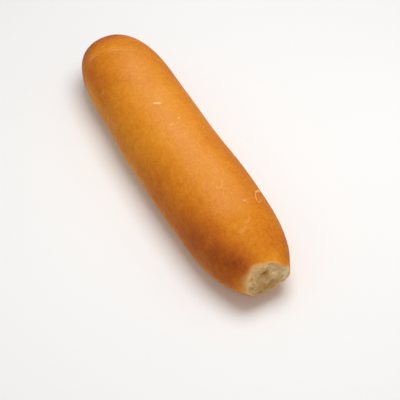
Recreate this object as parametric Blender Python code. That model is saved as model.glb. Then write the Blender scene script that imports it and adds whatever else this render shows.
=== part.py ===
"""Fino roll: a slim soft bread roll, one end domed, the other torn from the next roll in its row.

Metres, +Z up. The roll lies along X on its flat baked underside, the torn end towards +X,
and the origin is the bottom centre of its box.

Every point of the skin has a station, the distance from the tip of the dome, and an angle
round the roll: 0 points along +Y, 90 degrees straight up.
"""

import math

import bmesh
import bpy
import numpy as np

# Overall sizes
LENGTH = 0.178  # tip of the dome to the torn face
WIDTH = 0.0439  # of the body, without its swells
HEIGHT = 0.0358  # of the body, without its swells
BELT = 0.0161  # height of the widest line above the table
SINK = 0.0022  # how far the round section would reach below the table, which flattens it
FLAT_BLEND = 0.0009  # height over which the flank turns into the flat underside
TOP_POWER = 2.1  # superellipse powers of the section, 2 being an ellipse
BOTTOM_POWER = 2.5

# The domed end
DOME_LENGTH = 0.046
DOME_POWER = 2.88

# Where the body swells, just past the dome and past the middle: station, spread and share
SWELLS = (
    (0.071, 0.017, 0.032),
    (0.115, 0.029, 0.059),
)
WANDER = (0.0002, 0.0005, 0.0005, 0.0003)  # of the centre line, by half waves along the roll

# The neck that narrows to the torn end
NECK_LENGTH = 0.0411
NECK_POWER = 2.68
TORN_WIDTH = 0.0258
TORN_HEIGHT = 0.0179
TORN_CENTRE_Y = 0.0006
TORN_CENTRE_Z = 0.0174
TORN_LEAN = 0.168  # how far the face leans back, for each metre above its centre

# Unevenness of the skin
UNDULATION = 0.00012
UNDULATION_WAVES_ROUND = 4
UNDULATION_WAVES_ALONG = 6
SEED = 11

# The shallow fold that runs round the domed end
FOLD_STATION = 0.0156  # where it is nearest the tip
FOLD_ANGLE = math.radians(142)
FOLD_DRIFT = 0.014  # how far it has moved from the tip at FOLD_REACH from there
FOLD_REACH = math.radians(78)
FOLD_CURVE = 1.6  # how late that drift sets in
FOLD_END = 1.5  # reaches from the middle at which the fold has died out
FOLD_DEPTH = 0.0004
FOLD_WIDTH = 0.0022

# The torn face
EDGE_ROUND = 0.0007  # height of the crumb over the crust's edge, where it turns round
EDGE_BAND = 0.0028  # width of that turn
CRUMB_BULGE = 0.0006
CRUMB_RELIEF = 0.00022  # height of each of the crumb's waves
CRUMB_WAVES = 14
CRUMB_WAVE_SHORTEST = 0.0028
CRUMB_WAVE_LONGEST = 0.0085
RIM_FADE = 0.006  # length of crust over which the ragged edge dies out
# Each dent or bump of the torn edge: angle, spread of the angle, and height, minus for a dent
RIM_MARKS = (
    (math.radians(10), math.radians(30), -0.0012),
    (math.radians(46), math.radians(20), -0.0016),
    (math.radians(-66), math.radians(22), -0.0014),
    (math.radians(150), math.radians(10), 0.0003),
)
# Where the crust reaches past the torn plane or stops short of it: angle, spread and reach
RIM_REACH = (
    (math.radians(45), math.radians(26), 0.0019),
    (math.radians(115), math.radians(20), -0.0023),
    (math.radians(178), math.radians(20), 0.0014),
)
REACH_FADE = 0.014  # length of crust over which that reach builds up
REACH_POWER = 5  # how late it builds up from the middle of the torn face outwards
# Each hole or lump of the crumb: y and z from the face's centre, radius, and height
CRUMB_MARKS = (
    (-0.0022, 0.0044, 0.0015, -0.0026),
    (-0.0026, 0.0020, 0.0017, -0.0007),
    (0.0010, -0.0036, 0.0021, -0.0010),
    (0.0057, -0.0027, 0.0016, -0.0006),
    (-0.0066, 0.0022, 0.0012, -0.0007),
    (0.0033, 0.0029, 0.0018, 0.0006),
    (-0.0091, 0.0011, 0.0015, 0.0004),
    (-0.0052, -0.0037, 0.0026, 0.0007),
    (-0.0062, 0.0052, 0.0018, 0.0005),
)

# Mesh: faces round the roll, rings on the torn face, rings from its rim to the dome's tip
AROUND = 88
FACE_RINGS = 14
BODY_RINGS = 49
PROFILE_STEPS = 2000  # short steps along the dome that the even spacing is worked out from

CRUST_COLOUR = (0.68, 0.27, 0.055)
CRUST_ROUGHNESS = 0.42
CRUMB_COLOUR = (0.66, 0.50, 0.27)
CRUMB_ROUGHNESS = 0.9


def smooth_step(value):
    """0 below 0, 1 above 1, and smooth between."""
    t = np.clip(value, 0, 1)
    return t * t * (3 - 2 * t)


def signed_power(value, power):
    return np.sign(value) * np.abs(value) ** power


def gaussian(offset, spread):
    return np.exp(-((offset / spread) ** 2))


def wrap_angle(angle):
    return (angle + math.pi) % (2 * math.pi) - math.pi


def dome_share(station):
    """Share of the full section that the domed end has reached at a station."""
    depth = np.clip(station / DOME_LENGTH, 0, 1)
    return (1 - (1 - depth) ** DOME_POWER) ** (1 / DOME_POWER)


def swell(station):
    """How much larger the section is than the plain body's at a station, as a share of it."""
    total = 0
    for middle, spread, size in SWELLS:
        total = total + size * gaussian(station - middle, spread)
    return total


def neck_share(station):
    """0 on the body, rising to 1 at the torn face."""
    return np.clip((station - LENGTH + NECK_LENGTH) / NECK_LENGTH, 0, 1) ** NECK_POWER


def centre_y(station):
    wander = 0
    for half_waves, size in enumerate(WANDER, start=1):
        wander = wander + size * np.sin(half_waves * math.pi * station / LENGTH)
    return wander + TORN_CENTRE_Y * neck_share(station)


def centre_z(station):
    neck = neck_share(station)
    return BELT * (1 - neck) + TORN_CENTRE_Z * neck


def undulation(station, angle):
    """Gentle unevenness of the dough, in metres, from waves round and along the roll."""
    rng = np.random.default_rng(SEED)
    total = 0
    for waves_round in range(1, UNDULATION_WAVES_ROUND + 1):
        for waves_along in range(1, UNDULATION_WAVES_ALONG + 1):
            turn, slide = rng.uniform(0, 2 * math.pi, 2)
            along = np.cos(2 * math.pi * waves_along * station / LENGTH + slide)
            share = 1 / math.hypot(waves_round, waves_along)
            total = total + share * along * np.cos(waves_round * angle + turn)
    return UNDULATION * total


def fold(station, angle):
    """The shallow groove round the domed end, in metres, which fades out below the belt."""
    turned = np.abs(wrap_angle(angle - FOLD_ANGLE)) / FOLD_REACH
    line = FOLD_STATION + FOLD_DRIFT * turned**FOLD_CURVE
    return -FOLD_DEPTH * gaussian(station - line, FOLD_WIDTH) * smooth_step(FOLD_END - turned)


def marks_round(marks, angle):
    """The sum at an angle of marks that each have a middle, a spread and a size."""
    total = 0
    for middle, spread, size in marks:
        total = total + size * gaussian(wrap_angle(angle - middle), spread)
    return total


def rim_relief(station, angle):
    """The dents and bumps of the torn edge, in metres, which die out along the crust."""
    return marks_round(RIM_MARKS, angle) * gaussian(LENGTH - station, RIM_FADE)


def rim_reach(station, angle):
    """How far the crust is drawn out or back along the roll, in metres, towards the tear."""
    return marks_round(RIM_REACH, angle) * smooth_step((station - LENGTH) / REACH_FADE + 1)


def skin(station, angle):
    """A point of the crust: its x from the tip of the dome, its y and its z."""
    dome = dome_share(station)
    neck = neck_share(station)
    swollen = dome * (1 + swell(station))
    half_width = WIDTH / 2 * swollen * (1 - (1 - TORN_WIDTH / WIDTH) * neck)
    tall = swollen * (1 - (1 - TORN_HEIGHT / (HEIGHT + SINK)) * neck)
    upper = np.sin(angle) > 0
    power = np.where(upper, TOP_POWER, BOTTOM_POWER)
    half_height = tall * np.where(upper, HEIGHT - BELT, BELT + SINK)
    relief = undulation(station, angle) * smooth_step(station / FOLD_STATION)
    relief = relief + fold(station, angle) + rim_relief(station, angle)
    across = half_width * signed_power(np.cos(angle), 2 / power) + relief * np.cos(angle)
    above = half_height * signed_power(np.sin(angle), 2 / power) + relief * np.sin(angle)
    along = lean(station, above) + rim_reach(station, angle)
    return along, centre_y(station) + across, rest_flat(centre_z(station) + above)


def lean(station, above):
    """The x of a point: towards the torn end the sections lean back as its face does."""
    neck = np.clip((station - LENGTH + NECK_LENGTH) / NECK_LENGTH, 0, 1)
    return station - TORN_LEAN * neck**2 * above


def rest_flat(height):
    """Heights below the table become the table's, with a soft turn from flank to underside."""
    turn = np.clip(height / FLAT_BLEND, -1, 1)
    return np.where(height > FLAT_BLEND, height, FLAT_BLEND * (turn + 1) ** 2 / 4)


def crumb_relief(across, above):
    """How far the torn crumb stands out of its plane, at y and z from the face's centre."""
    rng = np.random.default_rng(SEED + 1)
    total = 0
    for _ in range(CRUMB_WAVES):
        wave_length = rng.uniform(CRUMB_WAVE_SHORTEST, CRUMB_WAVE_LONGEST)
        heading, slide = rng.uniform(0, 2 * math.pi, 2)
        along = across * math.cos(heading) + above * math.sin(heading)
        share = wave_length / CRUMB_WAVE_LONGEST
        total = total + share * np.sin(2 * math.pi * along / wave_length + slide)
    relief = CRUMB_RELIEF * total
    for mark_y, mark_z, radius, height in CRUMB_MARKS:
        relief = relief + height * gaussian(np.hypot(across - mark_y, above - mark_z), radius)
    return relief


def torn_face(share, angle):
    """A point of the torn face, at a share of the way from its centre out to the crust's rim."""
    _, rim_y, rim_z = skin(LENGTH, angle)
    across = share * (rim_y - centre_y(LENGTH))
    above = share * (rim_z - centre_z(LENGTH))
    inside = smooth_step((1 - share) * TORN_HEIGHT / EDGE_BAND)
    bulge = CRUMB_BULGE * (1 - share**2) + EDGE_ROUND * np.sqrt(inside)
    out = bulge + crumb_relief(across, above) * inside
    out = out + rim_reach(LENGTH, angle) * share**REACH_POWER
    x = LENGTH - TORN_LEAN * above + out
    return x, centre_y(LENGTH) + across, centre_z(LENGTH) + above


def body_stations():
    """Stations from the torn rim to the tip of the dome, evenly spaced over the skin."""
    fine = DOME_LENGTH * (1 - np.cos(np.linspace(0, math.pi / 2, PROFILE_STEPS)))
    fine = np.append(fine, LENGTH)
    radius = HEIGHT / 2 * dome_share(fine)
    walked = np.append(0, np.cumsum(np.hypot(np.diff(fine), np.diff(radius))))
    return np.interp(np.linspace(walked[-1], 0, BODY_RINGS + 1), walked, fine)


def roll_mesh():
    """A sphere whose poles become the middle of the torn face and the tip of the dome."""
    rings = FACE_RINGS + BODY_RINGS
    shape = bmesh.new()
    bmesh.ops.create_uvsphere(shape, u_segments=AROUND, v_segments=rings, radius=1)
    shape.verts.ensure_lookup_table()
    ball = np.array([vertex.co for vertex in shape.verts])
    ring = np.rint(np.arccos(np.clip(ball[:, 2], -1, 1)) / math.pi * rings).astype(int)
    angle = np.arctan2(ball[:, 1], ball[:, 0])
    station = body_stations()[np.clip(ring - FACE_RINGS, 0, BODY_RINGS)]
    on_crust = skin(station, angle)
    on_face = torn_face(np.clip(ring / FACE_RINGS, 0, 1), angle)
    points = np.where(ring >= FACE_RINGS, on_crust, on_face).T
    low, high = points.min(axis=0), points.max(axis=0)
    points -= ((low[0] + high[0]) / 2, (low[1] + high[1]) / 2, low[2])
    for vertex, point in zip(shape.verts, points):
        vertex.co = point
    for face in shape.faces:
        face.smooth = True
        face.material_index = int(all(ring[v.index] <= FACE_RINGS for v in face.verts))
    mesh = bpy.data.meshes.new("fino_roll")
    shape.to_mesh(mesh)
    shape.free()
    return mesh


def bread_material(name, colour, roughness):
    material = bpy.data.materials.new(name)
    material.use_nodes = True
    shader = material.node_tree.nodes["Principled BSDF"]
    shader.inputs["Base Color"].default_value = (*colour, 1)
    shader.inputs["Roughness"].default_value = roughness
    shader.inputs["Metallic"].default_value = 0
    return material


def main():
    for old in list(bpy.data.objects):
        bpy.data.objects.remove(old)
    collection = bpy.data.collections.new("fino_bread")
    bpy.context.scene.collection.children.link(collection)
    mesh = roll_mesh()
    mesh.materials.append(bread_material("crust", CRUST_COLOUR, CRUST_ROUGHNESS))
    mesh.materials.append(bread_material("crumb", CRUMB_COLOUR, CRUMB_ROUGHNESS))
    collection.objects.link(bpy.data.objects.new("fino_roll", mesh))


main()
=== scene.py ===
"""Looks of the fino roll: its baked skin, the torn crumb, flakes, floor, light and camera.

Metres, +Z up. The roll lies along X, the torn end towards +X. Every point of the skin has a
station, the distance from the tip of the dome, and an angle round the roll: 0 points along
+Y, 90 degrees straight up.
"""

import math

import bmesh
import bpy
import numpy as np
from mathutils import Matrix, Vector, noise


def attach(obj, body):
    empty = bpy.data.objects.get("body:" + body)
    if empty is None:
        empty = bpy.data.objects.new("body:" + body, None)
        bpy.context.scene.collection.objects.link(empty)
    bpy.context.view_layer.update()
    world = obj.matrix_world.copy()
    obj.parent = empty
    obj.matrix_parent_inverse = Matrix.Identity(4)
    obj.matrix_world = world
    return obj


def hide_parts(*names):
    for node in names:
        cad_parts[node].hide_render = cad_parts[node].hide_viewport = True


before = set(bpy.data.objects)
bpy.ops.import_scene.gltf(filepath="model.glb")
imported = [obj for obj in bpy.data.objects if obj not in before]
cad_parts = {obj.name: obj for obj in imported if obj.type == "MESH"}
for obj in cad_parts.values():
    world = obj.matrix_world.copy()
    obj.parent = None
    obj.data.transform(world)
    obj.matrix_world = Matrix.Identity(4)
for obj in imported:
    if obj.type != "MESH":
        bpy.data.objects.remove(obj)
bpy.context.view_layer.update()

# The loaf, as in the solid
LENGTH = 0.178  # tip of the dome to the torn face
WIDTH = 0.0439
HEIGHT = 0.0358
BELT = 0.0161
SINK = 0.0022
FLAT_BLEND = 0.0009
TOP_POWER = 2.1
BOTTOM_POWER = 2.5
DOME_LENGTH = 0.046
DOME_POWER = 2.88
SWELLS = (
    (0.071, 0.017, 0.032),
    (0.115, 0.029, 0.059),
)
WANDER = (0.0002, 0.0005, 0.0005, 0.0003)
NECK_LENGTH = 0.0411
NECK_POWER = 2.68
TORN_WIDTH = 0.0258
TORN_HEIGHT = 0.0179
TORN_CENTRE_Y = 0.0006
TORN_CENTRE_Z = 0.0174
TORN_LEAN = 0.168
UNDULATION = 0.00012
UNDULATION_WAVES_ROUND = 4
UNDULATION_WAVES_ALONG = 6
SEED = 11
FOLD_STATION = 0.0156
FOLD_ANGLE = math.radians(142)
FOLD_DRIFT = 0.014
FOLD_REACH = math.radians(78)
FOLD_CURVE = 1.6
FOLD_END = 1.5
FOLD_DEPTH = 0.0004
FOLD_WIDTH = 0.0022
EDGE_ROUND = 0.0007
EDGE_BAND = 0.0028
CRUMB_BULGE = 0.0006
CRUMB_RELIEF = 0.00022
CRUMB_WAVES = 14
CRUMB_WAVE_SHORTEST = 0.0028
CRUMB_WAVE_LONGEST = 0.0085
RIM_FADE = 0.006
RIM_MARKS = (
    (math.radians(10), math.radians(30), -0.0012),
    (math.radians(46), math.radians(20), -0.0016),
    (math.radians(-66), math.radians(22), -0.0014),
    (math.radians(150), math.radians(10), 0.0003),
)
RIM_REACH = (
    (math.radians(45), math.radians(26), 0.0019),
    (math.radians(115), math.radians(20), -0.0023),
    (math.radians(178), math.radians(20), 0.0014),
)
REACH_FADE = 0.014
REACH_POWER = 5
CRUMB_MARKS = (
    (-0.0022, 0.0044, 0.0015, -0.0026),
    (-0.0026, 0.0020, 0.0017, -0.0007),
    (0.0010, -0.0036, 0.0021, -0.0010),
    (0.0057, -0.0027, 0.0016, -0.0006),
    (-0.0066, 0.0022, 0.0012, -0.0007),
    (0.0033, 0.0029, 0.0018, 0.0006),
    (-0.0091, 0.0011, 0.0015, 0.0004),
    (-0.0052, -0.0037, 0.0026, 0.0007),
    (-0.0062, 0.0052, 0.0018, 0.0005),
)

# Fine mesh of the roll
AROUND = 256
FACE_RINGS = 52
BODY_RINGS = 320
PROFILE_STEPS = 4000
RIM_DENSITY = 1.25  # above 1, the rings crowd towards the torn rim

# Flakes that lift off the crust: stations and angles that each runs through, width, height, and
# how pale it is
FLAKES = (
    (((0.0669, 97), (0.0681, 92.2), (0.0691, 87.3)), 0.0017, 0.00035, 1.0),
    (((0.0820, 82.5), (0.0822, 79)), 0.0012, 0.00025, 0.8),
    (((0.0843, 94.5), (0.0848, 92.3)), 0.0008, 0.00015, 0.7),
    (((0.1324, 91), (0.1312, 86.3)), 0.0005, 0.00012, 0.5),
    (((0.1395, 50), (0.1388, 45.5), (0.1376, 37.5), (0.1366, 31)), 0.0015, 0.00045, 0.55),
    (((0.1396, 50), (0.1423, 53.2), (0.1440, 55.2), (0.1453, 56.2)), 0.0009, 0.00030, 0.35),
    (((0.1457, 56.0), (0.1464, 54.8), (0.1463, 51.5)), 0.0010, 0.00030, 0.15),
    (((0.1438, 75.5), (0.1444, 73)), 0.0011, 0.00018, 0.45),
)
# Scuffed, paler spots of the crust: station, angle and radius
SCUFFS = (
    (0.0846, 93.0, 0.0009),
    (0.0870, 98.0, 0.0007),
    (0.0393, 151.0, 0.0008),
    (0.0392, 147.0, 0.0006),
    (0.1322, 91.0, 0.0008),
    (0.1440, 74.5, 0.0010),
    (0.1548, 82.0, 0.0005),
    (0.1560, 86.5, 0.0009),
    (0.1585, 93.0, 0.0007),
    (0.1588, 96.2, 0.0009),
    (0.1602, 100.2, 0.0008),
)
# Browner patches of the torn crumb, some of them painted shade in its hollows: y and z from the
# face's centre, radius and depth
BROWN_AND_SHADE_CRUMB_PATCHES = (
    # painted shade: the hollow low on the face
    (-0.0010, -0.0030, 0.0030, 0.90),
    (-0.0014, 0.0050, 0.0018, 0.60),
    (-0.0018, 0.0020, 0.0014, 0.30),
    (0.0020, 0.0066, 0.0013, 0.45),
    (-0.0093, 0.0028, 0.0012, 0.35),
    (-0.0066, 0.0072, 0.0022, 0.15),
    (0.0050, 0.0068, 0.0020, 0.35),
    (-0.0050, 0.0080, 0.0030, 0.30),
    (-0.0048, -0.0012, 0.0022, 0.30),
    (-0.0058, -0.0050, 0.0034, 0.45),
    (0.0042, -0.0044, 0.0018, 0.30),
)
# Paler ones, several of them painted light that lifts the shade of dips and of the right rim
PALE_AND_LIT_CRUMB_PATCHES = (
    # painted light on the shaded right rim
    (0.0092, 0.0016, 0.0030, 0.90),
    (0.0080, -0.0022, 0.0019, 0.75),
    (0.0020, 0.0080, 0.0017, 0.60),
    (0.0028, 0.0048, 0.0020, 0.40),
    (0.0026, 0.0012, 0.0022, 0.35),
    # painted light in the shade of a dip by the hole
    (-0.0022, 0.0018, 0.0015, 0.45),
    (-0.0078, 0.0042, 0.0014, 0.25),
    (-0.0108, 0.0022, 0.0012, 0.45),
)
# Browner patches of the crust, the one low on the left flank painted shade: station, angle, reach
# along, reach round in degrees, depth
BROWNING_AND_SHADE_PATCHES = (
    (0.158, 150, 0.022, 40, 0.16),
    (0.158, 138, 0.020, 24, 0.05),
    (0.032, 145, 0.014, 22, 0.10),
    (0.173, 132, 0.010, 24, 0.12),
    (0.176, 138, 0.008, 20, 0.08),
    (0.130, 170, 0.022, 20, 0.07),
    (0.075, 134, 0.022, 16, 0.04),
    (0.072, 48, 0.025, 16, 0.05),
    (0.030, 178, 0.014, 14, -0.24),
    (0.007, 88, 0.007, 28, 0.11),
    (0.096, 90, 0.045, 24, 0.04),
    # painted shade: the lower left flank darkened as if in the shade of rolls beside it
    (0.150, 194, 0.024, 12, 0.13),
    (0.046, 106, 0.004, 9, 0.09),
    (0.024, 101, 0.003, 14, 0.07),
    (0.139, 92, 0.012, 16, 0.06),
    (0.166, 104, 0.008, 14, -0.05),
)
# A painted sheen, a peach cast along the top of the crust that stands for a soft highlight: its
# middle, its spread, and where it sets in and ends
SHEEN_ANGLE = math.radians(91)
SHEEN_SPREAD = math.radians(20)
SHEEN_FROM = 0.012
SHEEN_TO = 0.156
# Where the crust turns golden before the tear: angle, spread of the angle, and strength
GOLDEN_EDGE = (
    (math.radians(72), math.radians(30), 0.85),
    (math.radians(185), math.radians(26), 0.65),
    (math.radians(-60), math.radians(60), 0.6),
)

# The photograph's view: where its camera aims, and from where
AIM = Vector((0.0319, -0.006, 0.02))
VIEW_AZIMUTH = math.radians(61.5)
VIEW_ELEVATION = math.radians(50)
VIEW_DISTANCE = 0.75
LENS = 137.2
SENSOR = 36


def smooth_step(value):
    """0 below 0, 1 above 1, and smooth between."""
    t = np.clip(value, 0, 1)
    return t * t * (3 - 2 * t)


def signed_power(value, power):
    return np.sign(value) * np.abs(value) ** power


def gaussian(offset, spread):
    return np.exp(-((offset / spread) ** 2))


def wrap_angle(angle):
    return (angle + math.pi) % (2 * math.pi) - math.pi


# ---------------------------------------------------------------- the loaf's form


def dome_share(station):
    depth = np.clip(station / DOME_LENGTH, 0, 1)
    return (1 - (1 - depth) ** DOME_POWER) ** (1 / DOME_POWER)


def swell(station):
    total = 0
    for middle, spread, size in SWELLS:
        total = total + size * gaussian(station - middle, spread)
    return total


def neck_share(station):
    return np.clip((station - LENGTH + NECK_LENGTH) / NECK_LENGTH, 0, 1) ** NECK_POWER


def centre_y(station):
    wander = 0
    for half_waves, size in enumerate(WANDER, start=1):
        wander = wander + size * np.sin(half_waves * math.pi * station / LENGTH)
    return wander + TORN_CENTRE_Y * neck_share(station)


def centre_z(station):
    neck = neck_share(station)
    return BELT * (1 - neck) + TORN_CENTRE_Z * neck


def undulation(station, angle):
    """Gentle unevenness of the dough, from waves round and along the roll."""
    rng = np.random.default_rng(SEED)
    total = 0
    for waves_round in range(1, UNDULATION_WAVES_ROUND + 1):
        for waves_along in range(1, UNDULATION_WAVES_ALONG + 1):
            turn, slide = rng.uniform(0, 2 * math.pi, 2)
            along = np.cos(2 * math.pi * waves_along * station / LENGTH + slide)
            share = 1 / math.hypot(waves_round, waves_along)
            total = total + share * along * np.cos(waves_round * angle + turn)
    return UNDULATION * total


def fold_line(angle):
    """Station of the shallow fold round the dome, and how far its middle is, in reaches."""
    turned = np.abs(wrap_angle(angle - FOLD_ANGLE)) / FOLD_REACH
    return FOLD_STATION + FOLD_DRIFT * turned**FOLD_CURVE, turned


def fold(station, angle):
    line, turned = fold_line(angle)
    return -FOLD_DEPTH * gaussian(station - line, FOLD_WIDTH) * smooth_step(FOLD_END - turned)


def marks_round(marks, angle):
    """The sum at an angle of marks that each have a middle, a spread and a size."""
    total = 0
    for middle, spread, size in marks:
        total = total + size * gaussian(wrap_angle(angle - middle), spread)
    return total


def rim_relief(station, angle):
    return marks_round(RIM_MARKS, angle) * gaussian(LENGTH - station, RIM_FADE)


def rim_reach(station, angle):
    """How far the crust is drawn out or back along the roll, towards the tear."""
    return marks_round(RIM_REACH, angle) * smooth_step((station - LENGTH) / REACH_FADE + 1)


def lean(station, above):
    neck = np.clip((station - LENGTH + NECK_LENGTH) / NECK_LENGTH, 0, 1)
    return station - TORN_LEAN * neck**2 * above


def rest_flat(height):
    turn = np.clip(height / FLAT_BLEND, -1, 1)
    return np.where(height > FLAT_BLEND, height, FLAT_BLEND * (turn + 1) ** 2 / 4)


def skin(station, angle):
    """A point of the crust: its x from the tip of the dome, its y and its z."""
    dome = dome_share(station)
    neck = neck_share(station)
    swollen = dome * (1 + swell(station))
    half_width = WIDTH / 2 * swollen * (1 - (1 - TORN_WIDTH / WIDTH) * neck)
    tall = swollen * (1 - (1 - TORN_HEIGHT / (HEIGHT + SINK)) * neck)
    upper = np.sin(angle) > 0
    power = np.where(upper, TOP_POWER, BOTTOM_POWER)
    half_height = tall * np.where(upper, HEIGHT - BELT, BELT + SINK)
    relief = undulation(station, angle) * smooth_step(station / FOLD_STATION)
    relief = relief + fold(station, angle) + rim_relief(station, angle)
    across = half_width * signed_power(np.cos(angle), 2 / power) + relief * np.cos(angle)
    above = half_height * signed_power(np.sin(angle), 2 / power) + relief * np.sin(angle)
    along = lean(station, above) + rim_reach(station, angle)
    return along, centre_y(station) + across, rest_flat(centre_z(station) + above)


def crumb_relief(across, above):
    """How far the torn crumb stands out of its plane, at y and z from the face's centre."""
    rng = np.random.default_rng(SEED + 1)
    total = 0
    for _ in range(CRUMB_WAVES):
        wave_length = rng.uniform(CRUMB_WAVE_SHORTEST, CRUMB_WAVE_LONGEST)
        heading, slide = rng.uniform(0, 2 * math.pi, 2)
        along = across * math.cos(heading) + above * math.sin(heading)
        share = wave_length / CRUMB_WAVE_LONGEST
        total = total + share * np.sin(2 * math.pi * along / wave_length + slide)
    relief = CRUMB_RELIEF * total
    for mark_y, mark_z, radius, height in CRUMB_MARKS:
        relief = relief + height * gaussian(np.hypot(across - mark_y, above - mark_z), radius)
    return relief


def torn_face(share, angle):
    """A point of the torn face, at a share of the way from its centre out to the crust's rim."""
    _, rim_y, rim_z = skin(LENGTH, angle)
    across = share * (rim_y - centre_y(LENGTH))
    above = share * (rim_z - centre_z(LENGTH))
    inside = smooth_step((1 - share) * TORN_HEIGHT / EDGE_BAND)
    bulge = CRUMB_BULGE * (1 - share**2) + EDGE_ROUND * np.sqrt(inside)
    out = bulge + crumb_relief(across, above) * inside
    out = out + rim_reach(LENGTH, angle) * share**REACH_POWER
    x = LENGTH - TORN_LEAN * above + out
    return x, centre_y(LENGTH) + across, centre_z(LENGTH) + above


def body_stations():
    """Stations from the torn rim to the tip of the dome, a little closer near the rim."""
    fine = DOME_LENGTH * (1 - np.cos(np.linspace(0, math.pi / 2, PROFILE_STEPS)))
    fine = np.append(fine, LENGTH)
    radius = HEIGHT / 2 * dome_share(fine)
    walked = np.append(0, np.cumsum(np.hypot(np.diff(fine), np.diff(radius))))
    spaced = np.linspace(0, 1, BODY_RINGS + 1) ** RIM_DENSITY
    return np.interp(walked[-1] * (1 - spaced), walked, fine)


# ---------------------------------------------------------------- fine relief

# Wrinkles of the crust: height and grain, how far they bend, and the patches that have them
WRINKLE_HEIGHT = 0.00004
WRINKLE_GRAIN = (0.0021, 0.011, 0.011)
WRINKLE_BEND = 0.0030
WRINKLE_BEND_GRAIN = (0.018, 0.014, 0.014)
WRINKLE_PATCH_GRAIN = (0.030, 0.020, 0.020)
WRINKLE_PATCH_LEVEL = 0.4
WRINKLE_PATCH_CONTRAST = 1.4
# Small blisters of the skin, and its slight waviness
BLISTER_HEIGHT = 0.00005
BLISTER_GRAIN = 0.0019
BLISTER_COARSE_GRAIN = 0.0033
BLISTER_COARSE_SHARE = 0.6
WAVINESS_HEIGHT = 0.00004
WAVINESS_GRAIN = (0.009, 0.007, 0.007)
# Pores of the torn crumb: size, seed and depth of each kind
PORES = (
    (0.0030, 1.3, 0.00050),
    (0.0013, 4.1, 0.00016),
)
PORE_WALL = 0.55  # how far from a pore's middle its wall is full, in shares of its size
PORE_LEVEL = 0.7
PORE_BEND = 0.0006
PORE_BEND_GRAIN = 0.003
PORE_BEND_SEEDS = (2, 5, 8)
ROUGH_HEIGHT = 0.00010
ROUGH_GRAIN = 0.0009
# Where the fine relief fades: over this much at the tear's edge, and below this height
TORN_FADE = 0.0022
FLOOR_FADE = 0.003


def field(points, grain, seed):
    """Smooth noise from about -1 to 1 at each point. grain is its size, or sizes on x, y and z."""
    scaled = points / np.array(grain) + seed
    return np.array([noise.noise(Vector(p)) for p in scaled])


def cells(points, size, seed):
    """Distance of each point to the nearest of scattered centres, in shares of size."""
    scaled = points / size + seed
    return np.array([noise.voronoi(Vector(p))[0][0] for p in scaled])


def wrinkles(points):
    """Fine wrinkles that run round the roll, in patches: -1 to 1."""
    bent = points.copy()
    bent[:, 0] += WRINKLE_BEND * field(points, WRINKLE_BEND_GRAIN, 3.1)
    patches = WRINKLE_PATCH_CONTRAST * field(points, WRINKLE_PATCH_GRAIN, 1.9)
    return field(bent, WRINKLE_GRAIN, 7.7) * smooth_step(WRINKLE_PATCH_LEVEL + patches)


def crust_relief(points):
    """The wrinkles, the small blisters of the skin and a slight waviness."""
    blisters = np.abs(field(points, BLISTER_GRAIN, 2.6))
    blisters = blisters + BLISTER_COARSE_SHARE * field(points, BLISTER_COARSE_GRAIN, 8.8)
    relief = WRINKLE_HEIGHT * wrinkles(points) + BLISTER_HEIGHT * blisters
    return relief + WAVINESS_HEIGHT * field(points, WAVINESS_GRAIN, 5.3)


def torn_relief(points):
    """Open crumb: pores of a millimetre or two between rough, softly torn walls."""
    bend = np.stack([field(points, PORE_BEND_GRAIN, seed) for seed in PORE_BEND_SEEDS], 1)
    bent = points + PORE_BEND * bend
    relief = 0
    for size, seed, depth in PORES:
        relief = relief + depth * (smooth_step(cells(bent, size, seed) / PORE_WALL) - PORE_LEVEL)
    return relief + ROUGH_HEIGHT * field(points, ROUGH_GRAIN, 9.2)


def fine_relief(points, share, crumb):
    """The relief too fine for the solid; it fades at the tear's edge and near the floor."""
    edge = smooth_step((1 - share) * TORN_HEIGHT / TORN_FADE)
    lying = smooth_step(points[:, 2] / FLOOR_FADE)
    return np.where(crumb, edge * torn_relief(points), lying * crust_relief(points))


# ---------------------------------------------------------------- browning

# How deeply the top is baked, what each flank adds, and how that grows towards the side
BAKE_TOP = 0.40
BAKE_LEFT = 0.18
BAKE_RIGHT = 0.24
BAKE_FLANK_POWER = 1.5
FULL_WIDTH = 0.85  # share of its width from which the dome's flanks count in full
# Browner towards the tip of the dome: station where that ends, reach and depth
DOME_BROWN = (
    (0.075, 0.060, 0.12),
    (0.016, 0.013, 0.26),
    (0.007, 0.006, 0.12),
)
# Browner towards the tear: where that sets in, reach and depth, and how much of it each flank
# loses and how steeply
NECK_FROM = 0.125
NECK_REACH = 0.060
NECK_BROWN = 0.26
NECK_LEFT_LOSS = 0.35
NECK_LEFT_SLOPE = 1.3
NECK_RIGHT_LOSS = 0.5
NECK_RIGHT_SLOPE = 1.6
NECK_RIGHT_START = 0.5
# Browner flanks along the belly: where that sets in and ends, reach of both, depth, and how
# steeply it grows towards the sides
BELLY_FROM = 0.080
BELLY_TO = 0.165
BELLY_REACH = 0.030
BELLY_BROWN = 0.12
BELLY_SLOPE = 1.6
# Paler low on the flanks: height from which that sets in downwards, reach and depth
LOW_FROM = BELT + 0.001
LOW_REACH = 0.012
LOW_PALE = 0.27
# Unevenness of the baking
BAKE_UNEVEN = 0.04
BAKE_GRAIN = (0.020, 0.012, 0.012)
BAKE_WRINKLED = 0.04
# The golden edge before the tear: depth of baking, reach back from the tear, and its ragged line
GOLDEN_BAKE = 0.39
GOLDEN_REACH = 0.0085
GOLDEN_RAGGED = 0.0010
GOLDEN_GRAIN = 0.004
# How far along the painted sheen sets in and fades, and its unevenness
SHEEN_SETS_IN = 0.026
SHEEN_FADES = 0.016
SHEEN_UNEVEN = 0.4
SHEEN_GRAIN = (0.014, 0.009, 0.009)
# Crust thinned to cream at the tear: its width and strength all round, and what the left part
# adds, which has this angle and spread in degrees
CREAM_LEFT = (168, 42)
CREAM_WIDTH = 0.0008
CREAM_WIDTH_LEFT = 0.0026
CREAM_SHARE = 0.45
CREAM_SHARE_LEFT = 0.15
CREAM_POWER = 1.5
CREAM_RAGGED = 0.2
CREAM_GRAIN = 0.003
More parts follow.
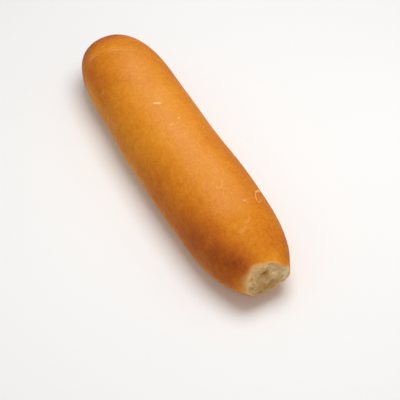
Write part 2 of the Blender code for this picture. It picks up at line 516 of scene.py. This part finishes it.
# Pale lines along the fold: distance from it towards the tip, width and strength
CREASES = (
    (0.0, 0.0006, 1.0),
    (0.0018, 0.0005, 0.5),
)
CREASE_BEND = 0.0003
CREASE_GRAIN = 0.006
CREASE_LEVEL = 0.75
CREASE_CONTRAST = 1.2
CREASE_END = 1.3
CREASE_LEFT_FROM = math.radians(132)
CREASE_LEFT_REACH = math.radians(20)
CREASE_LEFT_LOSS = 0.7
SCUFF_RAGGED = 0.5
SCUFF_GRAIN = 0.0016
# The tray side: height of its edge, and the raggedness of that as height, grain and seed
TRAY_EDGE = 0.0020
TRAY_RAGGED = (
    (0.0007, 0.007, 3.7),
    (0.0004, 0.0024, 9.6),
)
# The torn face: how sharply the crumb sets in at the edge, and the share of the way out from
# which the rim's own tones set in
CRUMB_SHARPNESS = 26
RIM_FROM = 0.80
# Thin crust on the rim, its crust colour partly painted light that lifts the shade of the dip
# under the top of the rim: angle and spread in degrees, reach and strength
LIT_THIN_CRUST_ROUND = (70, 20)
LIT_THIN_CRUST_REACH = 0.10
LIT_THIN_CRUST_SHARE = 0.42
# The cream layer just under the crust: angle and spread in degrees, reach, and all round the
# rim as a thin line the share it sets in at, reach and strength
CREAM_LAYER_ROUND = (180, 40)
CREAM_LAYER_REACH = 0.12
CREAM_LINE_FROM = 0.955
CREAM_LINE_REACH = 0.03
CREAM_LINE_SHARE = 0.5
# The painted light on the lower right rim of the crumb, as if bounced up from beside it: angle and
# spread in degrees, and reach
LIT_RIM_ROUND = (-45, 34)
LIT_RIM_REACH = 0.14
# Unevenness of the crumb's browner and paler patches
TONE_UNEVEN = 0.15
TONE_GRAIN = 0.0035
# Holes of the crumb, with painted shade in them: depth that counts as a full hole, how far the
# painted shade lies off its middle in y and z, and how much wider it is
HOLE_DEPTH = 0.0028
HOLE_SHIFT_Y = 0.0005
HOLE_SHIFT_Z = 0.0001
HOLE_SPREAD = 1.1


def rising(value, start, reach):
    """0 up to a start, 1 from a reach beyond it, and smooth between."""
    return smooth_step((value - start) / reach)


def falling(value, end, reach):
    """1 up to a reach short of an end, 0 from there on, and smooth between."""
    return smooth_step((end - value) / reach)


def around(angle, degrees, spread):
    """1 at an angle given in degrees, and less away from it."""
    return gaussian(wrap_angle(angle - math.radians(degrees)), math.radians(spread))


def flank_brown(across):
    """What the flanks add to the baking. across runs from -1 on the left to 1 on the right."""
    return np.where(across < 0, BAKE_LEFT, BAKE_RIGHT) * np.abs(across) ** BAKE_FLANK_POWER


def neck_brown(station, across):
    """What the neck adds, most along its top."""
    left = NECK_LEFT_LOSS * smooth_step(-NECK_LEFT_SLOPE * across)
    right = NECK_RIGHT_LOSS * smooth_step(NECK_RIGHT_SLOPE * across - NECK_RIGHT_START)
    return NECK_BROWN * (1 - left - right) * rising(station, NECK_FROM, NECK_REACH)


def belly_brown(station, across):
    """What the flanks add past the middle of the roll."""
    along = rising(station, BELLY_FROM, BELLY_REACH) * falling(station, BELLY_TO, BELLY_REACH)
    return BELLY_BROWN * along * smooth_step(BELLY_SLOPE * np.abs(across))


def bake_map(station, angle, points):
    """How deeply the crust is baked: 0 is pale dough, 1 dark brown. A patch low on the left flank
    is painted shade.
    """
    across = np.cos(angle) * smooth_step(dome_share(station) / FULL_WIDTH)
    bake_and_shade = BAKE_TOP + flank_brown(across)
    for end, reach, depth in DOME_BROWN:
        bake_and_shade = bake_and_shade + depth * falling(station, end, reach)
    bake_and_shade = bake_and_shade + neck_brown(station, across)
    bake_and_shade = bake_and_shade + belly_brown(station, across)
    # browner patches, and painted shade low on the left flank
    for middle, degrees, reach, turn, depth in BROWNING_AND_SHADE_PATCHES:
        bake_and_shade = bake_and_shade + depth * around(angle, degrees, turn) * gaussian(station - middle, reach)
    bake_and_shade = bake_and_shade - LOW_PALE * falling(points[:, 2], LOW_FROM, LOW_REACH)
    bake_and_shade = bake_and_shade + BAKE_UNEVEN * field(points, BAKE_GRAIN, 6.4)
    bake_and_shade = bake_and_shade + BAKE_WRINKLED * wrinkles(points)
    return golden_rim(station, angle, points, bake_and_shade)


def golden_rim(station, angle, points, bake_and_shade):
    """The baking, turned golden over the last millimetres before the tear."""
    back = LENGTH - station + GOLDEN_RAGGED * field(points, GOLDEN_GRAIN, 2.2)
    golden = np.clip(marks_round(GOLDEN_EDGE, angle), 0, 1) * smooth_step(1 - back / GOLDEN_REACH)
    return bake_and_shade * (1 - golden) + GOLDEN_BAKE * golden


def painted_sheen(station, angle, points):
    """How strong the painted sheen is along the top of the crust, a peach cast that stands for a
    soft highlight: 0 to about 1.
    """
    along = rising(station, SHEEN_FROM, SHEEN_SETS_IN) * falling(station, SHEEN_TO, SHEEN_FADES)
    patchy = 1 + SHEEN_UNEVEN * field(points, SHEEN_GRAIN, 7.3)
    return along * patchy * gaussian(wrap_angle(angle - SHEEN_ANGLE), SHEEN_SPREAD)


def torn_crust(station, angle, points):
    """How far the crust has thinned to cream at the tear: 0 to 1, widest on the left."""
    left = around(angle, *CREAM_LEFT)
    width = CREAM_WIDTH + CREAM_WIDTH_LEFT * left
    back = LENGTH - station + CREAM_RAGGED * width * field(points, CREAM_GRAIN, 6.7)
    thinned = np.clip(1 - back / width, 0, 1) ** CREAM_POWER
    return (CREAM_SHARE + CREAM_SHARE_LEFT * left) * thinned


def crease_light(station, angle, points):
    """Two thin paler lines along the fold round the domed end, broken here and there."""
    line, turned = fold_line(angle)
    line = line + CREASE_BEND * field(points, CREASE_GRAIN, 4.4)
    near = 0
    for before, width, strength in CREASES:
        near = near + strength * gaussian(station - line + before, width)
    broken = smooth_step(CREASE_LEVEL + CREASE_CONTRAST * field(points, CREASE_GRAIN, 8.3))
    left = rising(wrap_angle(angle), CREASE_LEFT_FROM, CREASE_LEFT_REACH)
    return near * broken * smooth_step(CREASE_END - turned) * (1 - CREASE_LEFT_LOSS * left)


def scuffs(station, angle, points):
    """How scuffed the crust is: 0 to 1."""
    total = 0
    ragged = 1 + SCUFF_RAGGED * field(points, SCUFF_GRAIN, 5.8)
    for middle, degrees, radius in SCUFFS:
        round_it = wrap_angle(angle - math.radians(degrees)) * HEIGHT / 2
        total = total + gaussian(np.hypot(station - middle, round_it), radius * ragged)
    return np.clip(total, 0, 1)


def underside(points):
    """How browned the roll is by the tray it was baked on: 0 to 1, with a ragged edge."""
    ragged = 0
    for height, grain, seed in TRAY_RAGGED:
        ragged = ragged + height * field(points, grain, seed)
    return smooth_step((TRAY_EDGE - points[:, 2] + ragged) / TRAY_EDGE)


def crumb_cover(share, angle):
    """How far the torn face is bare crumb: 0 at its edge, and 1 inside. Near the top of the rim,
    crust colour is carried in, partly as painted light.
    """
    bare = smooth_step((1 - share) * CRUMB_SHARPNESS)
    lit_thin_crust = around(angle, *LIT_THIN_CRUST_ROUND) * rising(share, RIM_FROM, LIT_THIN_CRUST_REACH)
    return bare * (1 - LIT_THIN_CRUST_SHARE * lit_thin_crust)


def crumb_edge(share, angle):
    """How much the crumb still shows of the cream layer just under the crust: 0 to 1."""
    layer = around(angle, *CREAM_LAYER_ROUND) * rising(share, RIM_FROM, CREAM_LAYER_REACH)
    return np.maximum(layer, CREAM_LINE_SHARE * rising(share, CREAM_LINE_FROM, CREAM_LINE_REACH))


def lit_rim(share, angle):
    """How much paler the lower right rim of the torn crumb is, painted light as if bounced up from
    beside it: 0 to 1.
    """
    return around(angle, *LIT_RIM_ROUND) * rising(share, RIM_FROM, LIT_RIM_REACH)


def from_face_centre(points):
    """How far points lie from the middle of the torn face, in y and in z."""
    return points[:, 1] - centre_y(LENGTH), points[:, 2] - centre_z(LENGTH)


def crumb_tone(points, patches):
    """How much browner or paler the torn crumb is than elsewhere, from some patches, some of them
    painted shade and painted light: 0 to 1.
    """
    across, above = from_face_centre(points)
    total = 0
    for mark_y, mark_z, radius, depth in patches:
        total = total + depth * gaussian(np.hypot(across - mark_y, above - mark_z), radius)
    return np.clip(total + TONE_UNEVEN * field(points, TONE_GRAIN, 4.9), 0, 1)


def holes(points):
    """Where the torn crumb has a deep hole, and so where shade is painted into it: 0 to 1."""
    across, above = from_face_centre(points)
    total = 0
    for mark_y, mark_z, radius, height in CRUMB_MARKS:
        away = np.hypot(across - mark_y - HOLE_SHIFT_Y, above - mark_z - HOLE_SHIFT_Z)
        deep = np.clip(-height / HOLE_DEPTH, 0, 1)
        total = total + deep * gaussian(away, radius * HOLE_SPREAD)
    return np.clip(total, 0, 1)


# ---------------------------------------------------------------- meshes

MILLIMETRES = 1000
FRAME_STEP = 0.0002  # how far apart the points are that a direction on the crust is taken from
FLAKE_STEPS = 16
FLAKE_SIDES = 8
FLAKE_TAPER = 0.4
FLAKE_RAGGED = (0.5, 1.25)


def set_attribute(mesh, name, values):
    attribute = mesh.attributes.new(name, "FLOAT", "POINT")
    attribute.data.foreach_set("value", np.asarray(values, np.float32))


def add_object(name, data):
    thing = bpy.data.objects.new(name, data)
    bpy.context.scene.collection.objects.link(thing)
    return thing


def smooth_mesh(name, shape):
    """A smoothly shaded mesh of a shape, which is freed."""
    for face in shape.faces:
        face.smooth = True
    mesh = bpy.data.meshes.new(name)
    shape.to_mesh(mesh)
    shape.free()
    return mesh


def roll_surface():
    """A sphere whose poles become the middle of the torn face and the tip of the dome."""
    rings = FACE_RINGS + BODY_RINGS
    shape = bmesh.new()
    bmesh.ops.create_uvsphere(shape, u_segments=AROUND, v_segments=rings, radius=1)
    ball = np.array([vertex.co for vertex in shape.verts])
    mesh = smooth_mesh("roll_skin", shape)
    ring = np.rint(np.arccos(np.clip(ball[:, 2], -1, 1)) / math.pi * rings).astype(int)
    angle = np.arctan2(ball[:, 1], ball[:, 0])
    station = body_stations()[np.clip(ring - FACE_RINGS, 0, BODY_RINGS)]
    share = np.clip(ring / FACE_RINGS, 0, 1)
    crumb = ring < FACE_RINGS
    points = np.where(crumb, torn_face(share, angle), skin(station, angle)).T
    return mesh, points, station, share, angle, crumb


def place_points(mesh, points):
    mesh.vertices.foreach_set("co", points.astype(np.float32).ravel())
    mesh.update()


def vertex_normals(mesh):
    normals = np.zeros(len(mesh.vertices) * 3, np.float32)
    mesh.vertices.foreach_get("normal", normals)
    return normals.reshape(-1, 3).astype(float)


def paint(mesh, station, share, angle, crumb, points, fine):
    """Gives the mesh the values at its points that the material is painted from."""
    crust_values = {
        "crease": crease_light(station, angle, points),
        "scuff": scuffs(station, angle, points),
        # painted sheen along the top
        "painted_sheen": painted_sheen(station, angle, points),
    }
    crumb_values = {
        # where shade is painted into the holes
        "hole": holes(points),
        "brown": crumb_tone(points, BROWN_AND_SHADE_CRUMB_PATCHES),
        # painted light on the crumb: paler patches and the lower right rim
        "pale": np.maximum(crumb_tone(points, PALE_AND_LIT_CRUMB_PATCHES), lit_rim(share, angle)),
        "crumb": crumb_cover(share, angle),
        "depth": fine * MILLIMETRES,
    }
    cream = np.where(crumb, crumb_edge(share, angle), torn_crust(station, angle, points))
    set_attribute(mesh, "bake_and_shade", bake_map(station, angle, points))
    set_attribute(mesh, "edge", cream)
    set_attribute(mesh, "under", underside(points))
    for name, values in crust_values.items():
        set_attribute(mesh, name, np.where(crumb, 0, values))
    for name, values in crumb_values.items():
        set_attribute(mesh, name, np.where(crumb, values, 0))


def roll_piece():
    """The roll, and how far it is shifted to lie centred."""
    mesh, points, station, share, angle, crumb = roll_surface()
    place_points(mesh, points)
    low, high = points.min(axis=0), points.max(axis=0)
    shift = np.array(((low[0] + high[0]) / 2, (low[1] + high[1]) / 2, 0))
    fine = fine_relief(points, share, crumb)
    points = points + vertex_normals(mesh) * fine[:, None]
    points[:, 2] = np.maximum(points[:, 2], 0)
    place_points(mesh, points - shift)
    paint(mesh, station, share, angle, crumb, points, fine)
    return add_object("fino_roll_skin", mesh), shift


def skin_point(station, angle, shift):
    return np.array([float(value) for value in skin(station, angle)]) - shift


def skin_frame(station, angle, shift):
    """A point of the crust and the outward direction there."""
    turn = FRAME_STEP / (WIDTH / 2)
    ahead, behind = station + FRAME_STEP, station - FRAME_STEP
    along = skin_point(ahead, angle, shift) - skin_point(behind, angle, shift)
    about = skin_point(station, angle + turn, shift) - skin_point(station, angle - turn, shift)
    out = np.cross(about, along)
    return skin_point(station, angle, shift), out / np.linalg.norm(out)


def close_tube(shape, rings, first_end, last_end):
    """Faces between rings of points, and from the outer rings to a point at each end."""
    for k in range(FLAKE_SIDES):
        n = (k + 1) % FLAKE_SIDES
        shape.faces.new((first_end, rings[0][n], rings[0][k]))
        shape.faces.new((last_end, rings[-1][k], rings[-1][n]))
        for first, second in zip(rings, rings[1:]):
            shape.faces.new((first[k], first[n], second[n], second[k]))


def add_flake(shape, path, width, height, shift, rng):
    """A thin lens of crust that lies along a path and tapers to both ends."""
    stations, degrees = zip(*path)
    spots = np.linspace(0, len(path) - 1, FLAKE_STEPS)
    places = zip(
        np.interp(spots, range(len(path)), stations),
        np.interp(spots, range(len(path)), np.radians(degrees)),
    )
    frames = [skin_frame(station, angle, shift) for station, angle in places]
    points = np.array([point for point, _ in frames])
    heading = np.gradient(points, axis=0)
    rings = []
    for step in range(1, FLAKE_STEPS - 1):
        out = frames[step][1]
        side = np.cross(out, heading[step])
        side = side / np.linalg.norm(side)
        taper = math.sin(math.pi * step / (FLAKE_STEPS - 1)) ** FLAKE_TAPER
        taper = taper * rng.uniform(*FLAKE_RAGGED)
        ring = []
        for turn in np.linspace(0, 2 * math.pi, FLAKE_SIDES, endpoint=False):
            offset = side * math.cos(turn) * width / 2 + out * math.sin(turn) * height
            ring.append(shape.verts.new(points[step] + taper * offset))
        rings.append(ring)
    close_tube(shape, rings, shape.verts.new(points[0]), shape.verts.new(points[-1]))


def flake_piece(shift):
    rng = np.random.default_rng(SEED + 2)
    shape = bmesh.new()
    tones = []
    for path, width, height, tone in FLAKES:
        add_flake(shape, path, width, height, shift, rng)
        tones += [tone] * (len(shape.verts) - len(tones))
    bmesh.ops.recalc_face_normals(shape, faces=shape.faces)
    mesh = smooth_mesh("crust_flakes", shape)
    set_attribute(mesh, "tone", tones)
    return add_object("crust_flakes", mesh)


# ---------------------------------------------------------------- materials


def linear(red, green, blue):
    """A colour as seen on a screen, 0 to 255, in the renderer's linear values."""
    seen = np.array((red, green, blue)) / 255
    light = np.where(seen <= 0.04045, seen / 12.92, ((seen + 0.055) / 1.055) ** 2.4)
    return (*light, 1)


# From pale dough to dark brown
BAKE_COLOURS = (
    (0.00, linear(238, 212, 160)),
    (0.18, linear(233, 183, 98)),
    (0.34, linear(227, 154, 52)),
    (0.46, linear(220, 140, 36)),
    (0.64, linear(204, 119, 28)),
    (0.74, linear(193, 105, 28)),
    (0.90, linear(164, 82, 28)),
    (1.00, linear(140, 64, 26)),
)
TRAY_COLOURS = (
    (0.30, linear(156, 94, 42)),
    (0.55, linear(190, 126, 60)),
    (0.75, linear(216, 160, 92)),
)
# Partly the crumb's own tan, partly painted shade and warm bounce light: darker and tanner than
# the crumb in plain light
SHADED_CRUMB_COLOURS = (
    (0.30, linear(186, 147, 92)),
    (0.48, linear(201, 165, 111)),
    (0.70, linear(216, 185, 138)),
)
FLAKE_COLOURS = (
    (0.30, linear(236, 168, 84)),
    (0.60, linear(252, 206, 134)),
)
# Painted sheen: a peach cast along the top that stands for a soft highlight
PAINTED_SHEEN_COLOUR = linear(224, 150, 96)
DARK_SPOT = linear(120, 62, 28)
PALE_FLECK = linear(250, 196, 128)
RUBBED_CRUST = linear(252, 196, 122)
CREAM_CRUST = linear(223, 179, 116)
CRUMB_LUMP = linear(226, 202, 170)
CRUMB_GOLDEN = linear(186, 142, 70)
# Painted shade in the pits of the crumb
CRUMB_PIT_SHADE = linear(172, 126, 62)
# Also painted shade where the crumb has hollows
CRUMB_BROWN = linear(166, 112, 44)
# Also painted light, where it lifts shade on the crumb
CRUMB_PALE = linear(234, 207, 164)
# Painted shade, warm brown, in the deep holes of the crumb
HOLE_PAINTED_SHADE = linear(186, 128, 40)
BAKED_FLAKE = linear(222, 146, 70)
# Mottling of the crust: size, detail and depth. The fine ones fade where it is darkest
COARSE_MOTTLES = (
    (0.011, 4, 0.14),
    (0.0036, 3, 0.18),
)
FINE_MOTTLES = (
    (0.0016, 3, 0.36),
    (0.0006, 2, 0.16),
)
MOTTLE_ROUGHNESS = 0.62
ALL_WAYS = (1, 1, 1)
# Noise: size, detail, roughness, stretch and distortion
THREAD_NOISE = (0.0021, 2, 0.5, (1.3, 0.8, 0.8), 0.8)
TRAY_NOISE = (0.004, 4, 0.65)
CRUMB_NOISE = (0.0011, 3, 0.65)
GRAIN_NOISE = (0.0007, 3, 0.6)
WRINKLE_NOISE = (0.0017, 2, 0.5, (1.5, 0.7, 0.7), 0.4)
FLAKE_NOISE = (0.0008, 3, 0.6)
FLAKE_GRAIN_NOISE = (0.0005, 2)
# Limits: a low and a high value, and what each of them becomes, 0 and 1 unless given
MOTTLE_LIMITS = (0.60, 0.88, 1.0, 0.45)
THREAD_LIMITS = (0.0, 0.045, 0.06, 0.0)
TOP_LIMITS = (0.0, 0.5, 0.35, 1.0)
DARK_SPOT_LIMITS = (0.03, 0.07, 0.22, 0.0)
PIT_SHADE_LIMITS = (-0.45, 0.1, 0.3, 0.0)
# Patches: noise and its limits
THREAD_PATCHES = ((0.010, 2), (0.42, 0.58))
FLECKS = ((0.0011, 2, 0.55), (0.54, 0.70, 0.0, 0.19))
FLECK_PATCHES = ((0.010, 2), (0.44, 0.58))
SCUFF_PATCHES = ((0.0011, 3, 0.6), (0.40, 0.60, 0.07, 0.29))
LUMP_PATCHES = ((0.0025, 2), (0.52, 0.66, 0.0, 0.38))
GOLDEN_PATCHES = ((0.0036, 2), (0.36, 0.50, 0.34, 0.0))
GLOSS_PATCHES = ((0.006, 3), (0.35, 0.65, 0.40, 0.52))
DARK_SPOT_SPACING = 0.0095
# How strongly each shows
# The painted sheen along the top comes first
PAINTED_SHEEN_STRENGTH = 0.38
CREASE_STRENGTH = 0.34
TRAY_STRENGTH = 0.85
TRAY_MATTE = 0.8
BROWN_STRENGTH = 0.75
HOLE_SHADE_STRENGTH = 0.85
MATTE_ROUGHER = 0.45
BUMP_HEIGHT = 0.00012
FLAKE_BUMP_HEIGHT = 0.00005


class Tree:
    """A material's nodes, added one at a time and wired as they are added."""

    def __init__(self, material):
        material.use_nodes = True
        self.tree = material.node_tree
        self.shader = self.tree.nodes["Principled BSDF"]

    def wire(self, target, value):
        if isinstance(value, bpy.types.NodeSocket):
            self.tree.links.new(value, target)
        else:
            target.default_value = value

    def set_shader(self, **values):
        """Wires or sets inputs of the shader. An underscore stands for a space in a name."""
        for name, value in values.items():
            self.wire(self.shader.inputs[name.replace("_", " ")], value)

    def attribute(self, name, strength=None):
        """A value that the mesh holds at its points, times a strength if one is given."""
        node = self.tree.nodes.new("ShaderNodeAttribute")
        node.attribute_name = name
        value = node.outputs["Fac"]
        return value if strength is None else self.math("MULTIPLY", value, strength)

    def place(self, stretch=ALL_WAYS):
        where = self.tree.nodes.new("ShaderNodeTexCoord")
        mapping = self.tree.nodes.new("ShaderNodeMapping")
        mapping.inputs["Scale"].default_value = stretch
        self.wire(mapping.inputs["Vector"], where.outputs["Object"])
        return mapping.outputs["Vector"]

    def noise(self, size, detail, rough=0.5, stretch=ALL_WAYS, distortion=0.0):
        node = self.tree.nodes.new("ShaderNodeTexNoise")
        self.wire(node.inputs["Vector"], self.place(stretch))
        node.inputs["Scale"].default_value = 1 / size
        node.inputs["Detail"].default_value = detail
        node.inputs["Roughness"].default_value = rough
        node.inputs["Distortion"].default_value = distortion
        return node.outputs["Fac"]

    def centred_noise(self, *settings):
        """Noise about zero."""
        return self.math("SUBTRACT", self.noise(*settings), 0.5)

    def voronoi(self, size):
        node = self.tree.nodes.new("ShaderNodeTexVoronoi")
        self.wire(node.inputs["Vector"], self.place())
        node.inputs["Scale"].default_value = 1 / size
        return node.outputs["Distance"]

    def math(self, operation, first, second=0.0, third=0.0, clamp=False):
        node = self.tree.nodes.new("ShaderNodeMath")
        node.operation = operation
        node.use_clamp = clamp
        for target, value in zip(node.inputs, (first, second, third)):
            self.wire(target, value)
        return node.outputs["Value"]

    def spread(self, value, low, high, to_low=0.0, to_high=1.0):
        """A value's range from low to high, spread smoothly over another."""
        node = self.tree.nodes.new("ShaderNodeMapRange")
        node.interpolation_type = "SMOOTHSTEP"
        names = ("Value", "From Min", "From Max", "To Min", "To Max")
        for name, number in zip(names, (value, low, high, to_low, to_high)):
            self.wire(node.inputs[name], number)
        return node.outputs["Result"]

    def patches(self, noise, limits):
        return self.spread(self.noise(*noise), *limits)

    def ramp(self, value, stops):
        node = self.tree.nodes.new("ShaderNodeValToRGB")
        points = node.color_ramp.elements
        while len(points) < len(stops):
            points.new(0.5)
        for point, (position, colour) in zip(points, stops):
            point.position = position
            point.color = colour
        self.wire(node.inputs["Fac"], value)
        return node.outputs["Color"]

    def mix(self, share, first, second):
        node = self.tree.nodes.new("ShaderNodeMix")
        node.data_type = "RGBA"
        self.wire(node.inputs["Factor"], share)
        self.wire(node.inputs["A"], first)
        self.wire(node.inputs["B"], second)
        return node.outputs["Result"]

    def bump(self, height, distance, normal=None):
        node = self.tree.nodes.new("ShaderNodeBump")
        node.inputs["Distance"].default_value = distance
        node.inputs["Strength"].default_value = 1.0
        self.wire(node.inputs["Height"], height)
        if normal is not None:
            self.wire(node.inputs["Normal"], normal)
        return node.outputs["Normal"]


def pale_threads(nodes):
    """Fine paler threads in the baking, in patches."""
    line = nodes.math("ABSOLUTE", nodes.centred_noise(*THREAD_NOISE))
    thread = nodes.spread(line, *THREAD_LIMITS)
    return nodes.math("MULTIPLY", thread, nodes.patches(*THREAD_PATCHES))


def mottled_bake(nodes):
    """The baking, with its mottling and threads."""
    # the baking, with painted shade low on the left flank
    bake_and_shade = nodes.attribute("bake_and_shade")
    grain = nodes.spread(bake_and_shade, *MOTTLE_LIMITS)
    for size, detail, depth in COARSE_MOTTLES:
        patchy = nodes.centred_noise(size, detail, MOTTLE_ROUGHNESS)
        bake_and_shade = nodes.math("MULTIPLY_ADD", patchy, depth, bake_and_shade)
    for size, detail, depth in FINE_MOTTLES:
        patchy = nodes.centred_noise(size, detail, MOTTLE_ROUGHNESS)
        bake_and_shade = nodes.math("MULTIPLY_ADD", patchy, nodes.math("MULTIPLY", grain, depth), bake_and_shade)
    return nodes.math("SUBTRACT", bake_and_shade, pale_threads(nodes))


def flecks(nodes, top):
    """Tiny pale flecks, in patches, most of them along the top."""
    light = nodes.math("MULTIPLY", nodes.patches(*FLECKS), nodes.patches(*FLECK_PATCHES))
    return nodes.math("MULTIPLY", light, nodes.spread(top, *TOP_LIMITS))


def rubbed(nodes):
    """Where the crust is pale because it is creased or scuffed."""
    scuff = nodes.attribute("scuff", nodes.patches(*SCUFF_PATCHES))
    return nodes.math("MAXIMUM", nodes.attribute("crease", CREASE_STRENGTH), scuff)


def crust_colour(nodes):
    top = nodes.attribute("painted_sheen")
    tray = nodes.ramp(nodes.noise(*TRAY_NOISE), TRAY_COLOURS)
    layers = (
        # painted sheen along the top of the crust
        (nodes.math("MULTIPLY", top, PAINTED_SHEEN_STRENGTH), PAINTED_SHEEN_COLOUR),
        (nodes.spread(nodes.voronoi(DARK_SPOT_SPACING), *DARK_SPOT_LIMITS), DARK_SPOT),
        (flecks(nodes, top), PALE_FLECK),
        (rubbed(nodes), RUBBED_CRUST),
        (nodes.attribute("under", TRAY_STRENGTH), tray),
    )
    colour = nodes.ramp(mottled_bake(nodes), BAKE_COLOURS)
    for share, layer in layers:
        colour = nodes.mix(share, colour, layer)
    return colour


def crumb_colour(nodes):
    layers = (
        (nodes.patches(*LUMP_PATCHES), CRUMB_LUMP),
        (nodes.patches(*GOLDEN_PATCHES), CRUMB_GOLDEN),
        # painted shade in the crumb's pits, from their depth
        (nodes.spread(nodes.attribute("depth"), *PIT_SHADE_LIMITS), CRUMB_PIT_SHADE),
        # browner patches, some of them painted shade
        (nodes.attribute("brown", BROWN_STRENGTH), CRUMB_BROWN),
        # paler patches, some of them painted light
        (nodes.attribute("pale"), CRUMB_PALE),
        # painted shade in the holes
        (nodes.attribute("hole", HOLE_SHADE_STRENGTH), HOLE_PAINTED_SHADE),
    )
    # crumb colours with painted shade and warm bounce light
    colour = nodes.ramp(nodes.noise(*CRUMB_NOISE), SHADED_CRUMB_COLOURS)
    for share, layer in layers:
        colour = nodes.mix(share, colour, layer)
    return colour


def bread_roughness(nodes):
    """The crust shines a little. The crumb and the tray side are matte."""
    gloss = nodes.patches(*GLOSS_PATCHES)
    matte = nodes.attribute("under", TRAY_MATTE)
    matte = nodes.math("MAXIMUM", matte, nodes.attribute("crumb"))
    return nodes.math("MULTIPLY_ADD", matte, MATTE_ROUGHER, gloss, clamp=True)


def bread_bumps(nodes):
    """Relief finer than the mesh: a tiny grain, and wrinkles that run round the roll."""
    fine = nodes.bump(nodes.noise(*GRAIN_NOISE), BUMP_HEIGHT)
    return nodes.bump(nodes.noise(*WRINKLE_NOISE), BUMP_HEIGHT, fine)


def bread_material():
    material = bpy.data.materials.new("baked_bread")
    nodes = Tree(material)
    bread = nodes.mix(nodes.attribute("crumb"), crust_colour(nodes), crumb_colour(nodes))
    nodes.set_shader(
        Base_Color=nodes.mix(nodes.attribute("edge"), bread, CREAM_CRUST),
        Roughness=bread_roughness(nodes),
        Normal=bread_bumps(nodes),
        Subsurface_Weight=0.12,
        Subsurface_Radius=(1.0, 0.45, 0.2),
        Subsurface_Scale=0.002,
        Specular_IOR_Level=0.035,
    )
    return material


def flake_material():
    material = bpy.data.materials.new("crust_flake")
    nodes = Tree(material)
    fresh = nodes.ramp(nodes.noise(*FLAKE_NOISE), FLAKE_COLOURS)
    nodes.set_shader(
        Base_Color=nodes.mix(nodes.attribute("tone"), BAKED_FLAKE, fresh),
        Roughness=0.6,
        Normal=nodes.bump(nodes.noise(*FLAKE_GRAIN_NOISE), FLAKE_BUMP_HEIGHT),
        Specular_IOR_Level=0.2,
    )
    return material


# ---------------------------------------------------------------- the stage


FLOOR_TONES = (
    (0.3, (0.885, 0.893, 0.905, 1)),
    (0.7, (0.910, 0.918, 0.930, 1)),
)
FLOOR_SIZE = 6
FLOOR_DROP = 0.0002  # below the roll, so that the two don't share a plane
FLOOR_GRAIN = 0.3
SKY_COLOUR = (1.0, 0.99, 0.97, 1)
SKY_STRENGTH = 0.48
KEY_PLACE = Vector((0.02, 0.08, 0.50))
KEY_SIZE = 0.35
KEY_POWER = 1.75
KEY_COLOUR = (1.0, 0.98, 0.95)
CLIP_START = 0.01


def floor():
    bpy.ops.mesh.primitive_plane_add(size=FLOOR_SIZE, location=(0, 0, -FLOOR_DROP))
    piece = bpy.context.object
    piece.name = "floor"
    material = bpy.data.materials.new("floor")
    nodes = Tree(material)
    tone = nodes.ramp(nodes.noise(FLOOR_GRAIN, 2), FLOOR_TONES)
    nodes.set_shader(Base_Color=tone, Roughness=0.8)
    piece.data.materials.append(material)


def turn_to(thing, back):
    """Turns a lamp or a camera so that its back looks along a direction."""
    thing.rotation_mode = "QUATERNION"
    thing.rotation_quaternion = back.to_track_quat("Z", "Y")


def key_light():
    light = bpy.data.lights.new("key", "AREA")
    light.shape = "DISK"
    light.size = KEY_SIZE
    light.energy = KEY_POWER
    light.color = KEY_COLOUR
    lamp = add_object("key", light)
    lamp.location = KEY_PLACE
    turn_to(lamp, KEY_PLACE)


def studio():
    world = bpy.data.worlds.new("studio")
    world.use_nodes = True
    background = world.node_tree.nodes["Background"]
    background.inputs["Color"].default_value = SKY_COLOUR
    background.inputs["Strength"].default_value = SKY_STRENGTH
    bpy.context.scene.world = world
    key_light()
    bpy.context.scene.view_settings.view_transform = "Standard"


def camera():
    back = Vector((
        math.sin(VIEW_AZIMUTH) * math.cos(VIEW_ELEVATION),
        -math.cos(VIEW_AZIMUTH) * math.cos(VIEW_ELEVATION),
        math.sin(VIEW_ELEVATION),
    ))
    lens = bpy.data.cameras.new("camera")
    lens.lens = LENS
    lens.sensor_width = SENSOR
    lens.clip_start = CLIP_START
    holder = add_object("camera", lens)
    holder.location = AIM + back * VIEW_DISTANCE
    turn_to(holder, back)
    bpy.context.scene.camera = holder


roll, centre_shift = roll_piece()
roll.data.materials.append(bread_material())
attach(roll, "root")
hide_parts("fino_roll")
flakes = flake_piece(centre_shift)
flakes.data.materials.append(flake_material())
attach(flakes, "root")
camera()
floor()
studio()
